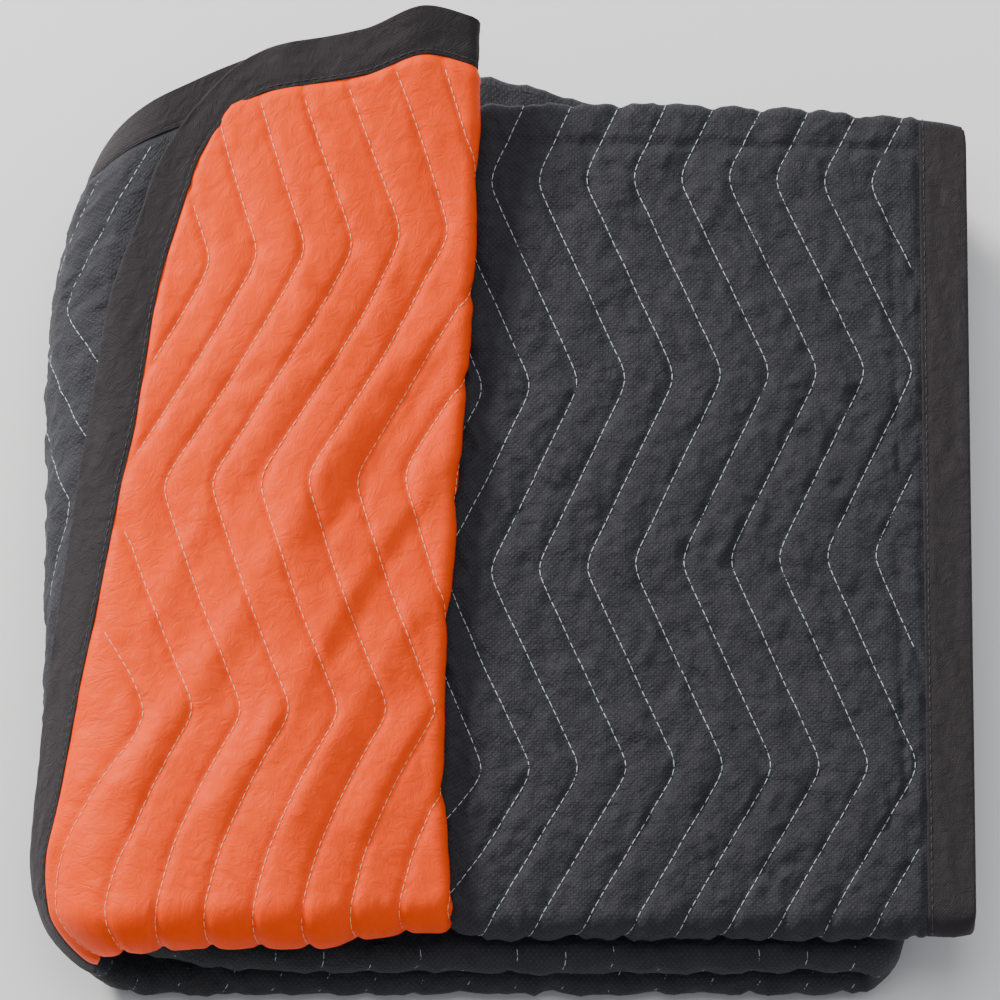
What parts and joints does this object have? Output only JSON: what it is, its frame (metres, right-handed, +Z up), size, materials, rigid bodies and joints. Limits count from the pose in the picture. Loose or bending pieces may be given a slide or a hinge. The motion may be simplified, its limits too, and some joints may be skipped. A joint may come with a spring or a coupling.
{
  "type": "folded moving pad",
  "caption": "Quilted furniture moving blanket folded into a flat stack, black face and orange reverse, bound edge, one end turned back.",
  "frame": {"origin": "middle of the folded stack's box in plan, on the surface that it rests on", "axes": "+Z up; -Y toward the folded front edge; +X toward the bound end that shows on top"},
  "size_m": [0.5059, 0.531, 0.1119],
  "materials": {
    "face_cloth": "black plain-woven cloth, quilted, matte",
    "reverse_cloth": "orange woven cloth with a soft sheen, quilted",
    "binding": "black binding tape, slightly brown where light strikes it"
  },
  "bodies": {
    "root": {"face_cloth": "face_cloth", "reverse_cloth": "reverse_cloth", "binding": "binding"}
  },
  "joints": []
}
